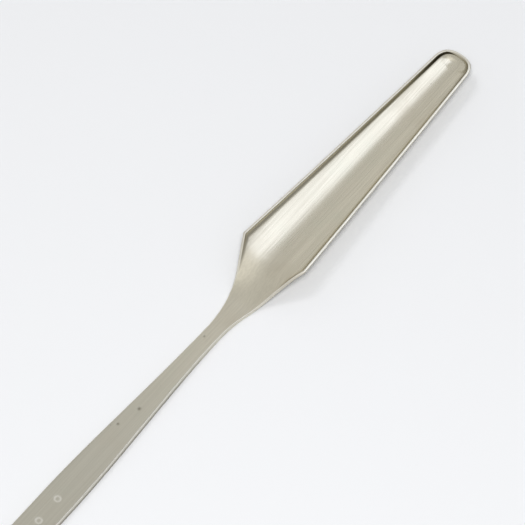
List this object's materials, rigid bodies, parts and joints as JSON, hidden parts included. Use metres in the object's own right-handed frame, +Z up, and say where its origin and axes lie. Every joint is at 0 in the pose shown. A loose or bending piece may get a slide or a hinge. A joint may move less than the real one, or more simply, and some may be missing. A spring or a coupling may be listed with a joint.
{
  "type": "palette knife",
  "caption": "One-piece metal palette knife: a flat strip handle narrows to a waist, then rises into a long tapering tray-shaped blade with square shoulders and a rounded tip.",
  "frame": {"origin": "on the surface the knife lies on, under the middle of its length", "axes": "+X from the heel of the handle to the tip of the blade, +Y across the blade, +Z up out of the dish"},
  "size_m": [0.23, 0.0196, 0.008],
  "materials": {
    "bare_metal": "bare warm-grey metal, fine lengthwise satin polish, bright on the rims and slightly duller on the handle"
  },
  "bodies": {
    "root": {"blade_and_handle": "bare_metal"}
  },
  "joints": []
}
